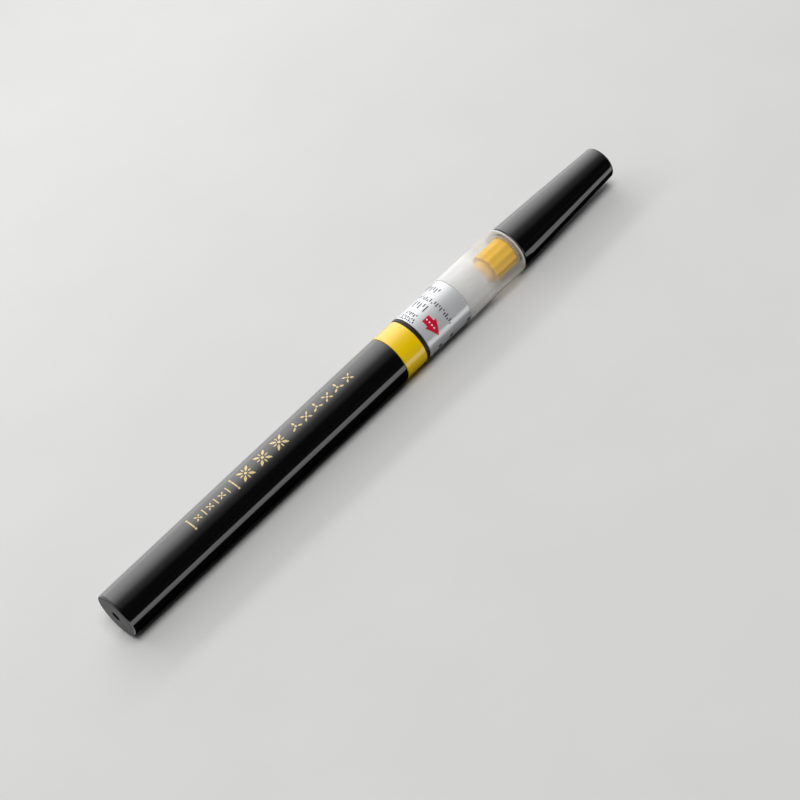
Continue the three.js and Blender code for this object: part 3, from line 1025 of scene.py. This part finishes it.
def build_holder():
    """The yellow holder: a plain collar, twelve soft ribs, and the pocket for the bristles' root."""
    start, end, rib_radius = span("tuft_holder")
    collar_radius = 3.1
    body_radius = 3.85
    socket_radius = 2.4
    core_hole = 1.0
    pocket_radius = 2.85
    pocket = end - 6.4
    socket_end = start + 1.8
    rib_start = start + 3.1
    rib_end = SHOULDER - 0.9
    ribs = 12
    groove_share = 0.55
    outline = softened((
        (start, socket_radius, 0.1),
        (start, collar_radius, 0.2),
        (rib_start, collar_radius, 0.1),
        (rib_start, body_radius, 0.1),
        (rib_start + 0.2, body_radius, 0),
        (rib_end, body_radius, 0),
        (rib_end + 0.02, body_radius, 0),
        (end, body_radius, 0.6),
        (end, pocket_radius, 0.1),
        (pocket, pocket_radius, 0.1),
        (pocket, core_hole, 0),
        (socket_end, core_hole, 0),
        (socket_end, socket_radius, 0),
    ))

    def ribbed(station, radius, angle):
        if radius < body_radius - 0.08 or not rib_start <= station <= rib_end:
            return radius
        crest = 0.5 + 0.5 * math.cos(ribs * angle)
        return radius + (rib_radius - body_radius) * (groove_share + (1 - groove_share) * crest)

    piece = turned("tuft_holder_body", outline, closed=True, segments=288, shape=ribbed)
    finish_piece(piece, holder_yellow, "section", ["tuft_holder"])


build_feed()
build_holder()


# ---- Bristles ----------------------------------------------------------------------------------

TUFT_PROFILE = (
    (tuft_start, 2.2),
    (SHOULDER, 2.2),
    (nose_tip - 1.0, 2.5),
    (nose_tip + 2.6, tuft_belly),
    (nose_tip + 6.5, 2.5),
    (nose_tip + 11.0, 1.6),
    (tuft_tip - 2.0, 0.75),
    (tuft_tip, 0.0),
)
BRISTLE_COUNT = 420
BRISTLE_THICKNESS = 0.085
BRISTLE_POINT = 0.006


def tuft_radius(station):
    """The bristles' outer radius: straight in the holder and nose, a belly, then a long point."""
    for (near, low), (far, high) in zip(TUFT_PROFILE, TUFT_PROFILE[1:]):
        if station <= far:
            share = (station - near) / (far - near)
            return low + (high - low) * share
    return 0.0


def bristle(angle, tip, depth, waver, sides=4, steps=18):
    """One bristle: a tapering rod that lies at a depth under the tuft's outside."""
    root = tuft_start + 0.4
    vertices = []
    faces = []
    for step in range(steps + 1):
        share = step / steps
        station = root + (tip - root) * share ** 0.85
        lean = angle + waver * math.sin(math.pi * share)
        thickness = BRISTLE_THICKNESS * (1 - share) ** 0.45 + BRISTLE_POINT
        radius = max(0.0, tuft_radius(station) - thickness - depth * (1 - share))
        for side in range(sides):
            turn = 2 * math.pi * side / sides
            out = radius + thickness * math.cos(turn)
            aside = thickness * math.sin(turn)
            vertices.append((
                TAIL_X + station * MM,
                (out * math.cos(lean) - aside * math.sin(lean)) * MM,
                AXIS_Z + (out * math.sin(lean) + aside * math.cos(lean)) * MM,
            ))
    for step in range(steps):
        for side in range(sides):
            after = (side + 1) % sides
            near = step * sides
            far = near + sides
            faces.append((near + side, near + after, far + after, far + side))
    faces.append(tuple(range(sides)))
    faces.append(tuple(range(steps * sides, steps * sides + sides)))
    return vertices, faces


def build_bristles():
    """A solid core, hollow at its root, with separate bristles all round it."""
    hollow_end = tuft_start + 15.4
    hollow_radius = 1.0
    cover = 0.16
    outline = [(hollow_end, 0), (hollow_end, hollow_radius), (tuft_start, hollow_radius)]
    for station in evenly(tuft_start, tuft_tip, 60)[:-1]:
        outline.append((station, max(0.02, tuft_radius(station) - cover)))
    outline.append((tuft_tip - 0.5, 0))
    core = turned("bristle_core", outline, closed=False, segments=96)
    finish_piece(core, bristle_fibre, "section", ["brush_tuft"])

    chance = random.Random(7)
    parts = []
    for index in range(BRISTLE_COUNT):
        angle = 2 * math.pi * (index + chance.uniform(-0.4, 0.4)) / BRISTLE_COUNT
        tip = tuft_tip - 0.1 - 9.0 * chance.random() ** 2.2
        depth = chance.uniform(0.0, 0.12)
        waver = chance.uniform(-0.05, 0.05)
        parts.append(bristle(angle, tip, depth, waver))
    strands = merged("bristle_strands", parts)
    finish_piece(strands, bristle_fibre, "section")


build_bristles()


# ---- Cap ---------------------------------------------------------------------------------------

CAP_MOUTH_RADIUS = 6.22
CAP_END_RADIUS = 4.68
CAP_TAPER = 1.15
CAP_WALL = 0.9
CAP_END_WALL = 1.5
CAP_LIP = 0.15
CAP_ROUNDING = 0.8


def cap_radius(station):
    """The cap's outer radius, which shrinks towards its end."""
    along = (station - SHOULDER) / (cap_end - SHOULDER)
    return CAP_MOUTH_RADIUS - (CAP_MOUTH_RADIUS - CAP_END_RADIUS) * along ** CAP_TAPER


def build_cap():
    hollow_end = cap_end - CAP_END_WALL
    rounding_start = cap_end - CAP_ROUNDING
    outline = [(hollow_end, 0)]
    for station in evenly(hollow_end, cap_mouth, 24):
        outline.append((station, cap_radius(station) - CAP_WALL))
    outline.append((cap_mouth, cap_radius(cap_mouth) - CAP_LIP))
    for station in evenly(cap_mouth + CAP_LIP, rounding_start, 24):
        outline.append((station, cap_radius(station)))
    flat_radius = cap_radius(rounding_start) - CAP_ROUNDING
    for angle in evenly(math.pi / 2, 0, 8)[1:]:
        outline.append((
            rounding_start + CAP_ROUNDING * math.cos(angle),
            flat_radius + CAP_ROUNDING * math.sin(angle),
        ))
    outline.append((cap_end, 0))
    shell = turned("cap_body", outline, closed=False, segments=FINE_SEGMENTS)
    finish_piece(shell, cap_black, "cap", ["cap_shell"])


def build_cap_liner():
    start, end, _ = span("inner_cap")
    outer_gap = CAP_WALL + 0.05
    wall = 0.6
    outline = [(end - wall, 0)]
    for station in evenly(end - wall, start, 12):
        outline.append((station, cap_radius(station) - outer_gap - wall))
    for station in evenly(start, end, 12):
        outline.append((station, cap_radius(station) - outer_gap))
    outline.append((end, 0))
    liner = turned("cap_liner", outline, closed=False, segments=96)
    finish_piece(liner, liner_plastic, "cap", ["inner_cap"])


build_cap()
build_cap_liner()


# ---- Tuft root pieces --------------------------------------------------------------------------

def build_tuft_root():
    """The washer of fused bristle roots, and five turns of thread wound round them."""
    start, end, radius = span("tuft_flange")
    hole = 1.0
    outline = softened((
        (start, hole, 0.1),
        (start, radius, 0.3),
        (end, radius, 0.3),
        (end, hole, 0.1),
    ))
    washer = turned("fused_root", outline, closed=True, segments=64)
    finish_piece(washer, bristle_fibre, "section", ["tuft_flange"])

    start, end, radius = span("tuft_binding")
    turns = 5
    inner = 2.4
    half = (end - start) / turns / 2
    outline = [(start, inner)]
    for near in evenly(start, end, turns)[:-1]:
        for angle in evenly(0, math.pi, 4):
            outline.append((near + half - half * math.cos(angle), radius - half + half * math.sin(angle)))
    outline.append((end, inner))
    binding = turned("root_winding", outline, closed=True, segments=64)
    finish_piece(binding, natural, "section", ["tuft_binding"])


build_tuft_root()


# ---- Floor, lights and camera ------------------------------------------------------------------

def build_floor():
    material, tree, shader = new_material("pale_floor", (0.6, 0.6, 0.595), 0.85, Specular_IOR_Level=0.0)
    clouds = noise(tree, stretched_coordinates(tree), 30)
    set_tint(tree, shader, clouds, (0.595, 0.595, 0.59), (0.61, 0.61, 0.605))
    half = 6.0
    corners = [(-half, -half, 0), (half, -half, 0), (half, half, 0), (-half, half, 0)]
    floor = make_object("floor", corners, [(0, 1, 2, 3)])
    floor.data.materials.append(material)


def build_reflection_cards():
    """Two black cards that only reflections show, which paint dark reflections on the gloss: the strip of
    floor between them is a pale reflected line.

    The near card lies under the pen and where its cap travels, and paints the reflected shade of the
    floor there; the far card on the camera's side paints a dark reflection of the far floor.
    The strip runs closer to the pen beside the cap, which is thinner.
    """
    # Painted reflection: black that only glossy rays see, in place of the floor's shade under the pen and
    # the far floor.
    material = new_material("painted_reflection_black", (0.0, 0.0, 0.0), 0.9)[0]
    lift = 0.0001
    step_start = 0.052
    step_end = 0.057
    for name, start_x, end_x, side, line, cap_line in (
        ("near_shade_reflection_card", cad_low[0], cad_high[0] + 0.055, 0.006, -0.0145, -0.0085),
        ("far_dark_reflection_card", -3.0, 3.0, -5.0, -0.034, -0.018),
    ):
        outline = (
            (start_x, side),
            (end_x, side),
            (end_x, cap_line),
            (step_end, cap_line),
            (step_start, line),
            (start_x, line),
        )
        card = make_object(name, [(x, y, lift) for x, y in outline], [tuple(range(len(outline)))])
        card.data.materials.append(material)
        card.visible_camera = False
        card.visible_diffuse = False
        card.visible_transmission = False
        card.visible_shadow = False


def place_light(name, kind, azimuth, elevation, distance, energy):
    """A light that faces the pen and doesn't show in reflections. Azimuth 0 is the +Y side."""
    light = bpy.data.lights.new(name, kind)
    light.energy = energy
    lamp = bpy.data.objects.new(name, light)
    bpy.context.collection.objects.link(lamp)
    around = math.radians(azimuth)
    above = math.radians(elevation)
    direction = Vector((
        math.sin(around) * math.cos(above),
        math.cos(around) * math.cos(above),
        math.sin(above),
    ))
    lamp.location = direction * distance
    lamp.rotation_euler = direction.to_track_quat("Z", "Y").to_euler()
    lamp.visible_glossy = False
    lamp.visible_camera = False
    return light


def build_lights():
    """A long softbox behind the pen, and a wide even light from above its near side."""
    back = place_light("back_softbox", "AREA", 0, 39, 0.35, 0.45)
    back.shape = "RECTANGLE"
    back.size = 0.6
    back.size_y = 0.05
    top = place_light("top_light", "SUN", 180, 72, 0.6, 2.1)
    top.angle = math.radians(32)


# The dome's brightness from its near side to its far side, and from the tail's end to the cap's.
DOME_ACROSS = (
    (0.0, 0.007), (0.16, 0.008), (0.262, 0.067), (0.375, 0.125),
    (0.456, 0.25), (0.58, 0.56), (0.8, 1.0),
)
DOME_ALONG = ((0.48, 0.5), (0.58, 1.0), (0.76, 1.0), (0.86, 0.5))


def build_world():
    """A soft uneven dome, and a plain backdrop that only the camera sees."""
    world = bpy.data.worlds.new("studio")
    world.use_nodes = True
    bpy.context.scene.world = world
    tree = world.node_tree
    dome = tree.nodes["Background"]
    dome.inputs["Strength"].default_value = 1.2
    coordinates = tree.nodes.new("ShaderNodeTexCoord")
    axes = tree.nodes.new("ShaderNodeSeparateXYZ")
    tree.links.new(coordinates.outputs["Generated"], axes.inputs["Vector"])
    across = grey_ramp(tree, spread(tree, axes.outputs["Y"], 0, 1, -1, 1), DOME_ACROSS)
    along = grey_ramp(tree, spread(tree, axes.outputs["X"], 0, 1, -1, 1), DOME_ALONG)
    scaled = tree.nodes.new("ShaderNodeVectorMath")
    scaled.operation = "MULTIPLY"
    tree.links.new(across, scaled.inputs[0])
    tree.links.new(along, scaled.inputs[1])
    tree.links.new(scaled.outputs["Vector"], dome.inputs["Color"])
    backdrop = tree.nodes.new("ShaderNodeBackground")
    backdrop.inputs["Color"].default_value = (0.86, 0.86, 0.86, 1)
    rays = tree.nodes.new("ShaderNodeLightPath")
    mix = tree.nodes.new("ShaderNodeMixShader")
    tree.links.new(rays.outputs["Is Camera Ray"], mix.inputs["Fac"])
    tree.links.new(dome.outputs["Background"], mix.inputs[1])
    tree.links.new(backdrop.outputs["Background"], mix.inputs[2])
    tree.links.new(mix.outputs["Shader"], tree.nodes["World Output"].inputs["Surface"])


def build_camera():
    """The camera, by its direction from the pen's middle, its roll, and a small shift to each side."""
    azimuth = math.radians(-28.85)
    elevation = math.radians(43.33)
    roll = math.radians(-22.84)
    distance = 0.5359
    aside = 0.00693
    above = -0.00590
    back = Vector((
        math.sin(azimuth) * math.cos(elevation),
        -math.cos(azimuth) * math.cos(elevation),
        math.sin(elevation),
    ))
    level = Vector((0, 0, 1)).cross(back).normalized()
    upright = back.cross(level)
    right = level * math.cos(roll) + upright * math.sin(roll)
    up = upright * math.cos(roll) - level * math.sin(roll)
    centre = Vector(((cad_low[0] + cad_high[0]) / 2, 0, AXIS_Z))
    position = centre + back * distance + right * aside + up * above
    data = bpy.data.cameras.new("camera")
    data.lens = 97.4
    data.sensor_width = 36
    data.clip_start = 0.01
    camera = bpy.data.objects.new("camera", data)
    bpy.context.collection.objects.link(camera)
    turn = Matrix((right, up, back)).transposed().to_4x4()
    camera.matrix_world = Matrix.Translation(position) @ turn
    bpy.context.scene.camera = camera
    bpy.context.scene.view_settings.view_transform = "Standard"


build_floor()
build_reflection_cards()
build_lights()
build_world()
build_camera()
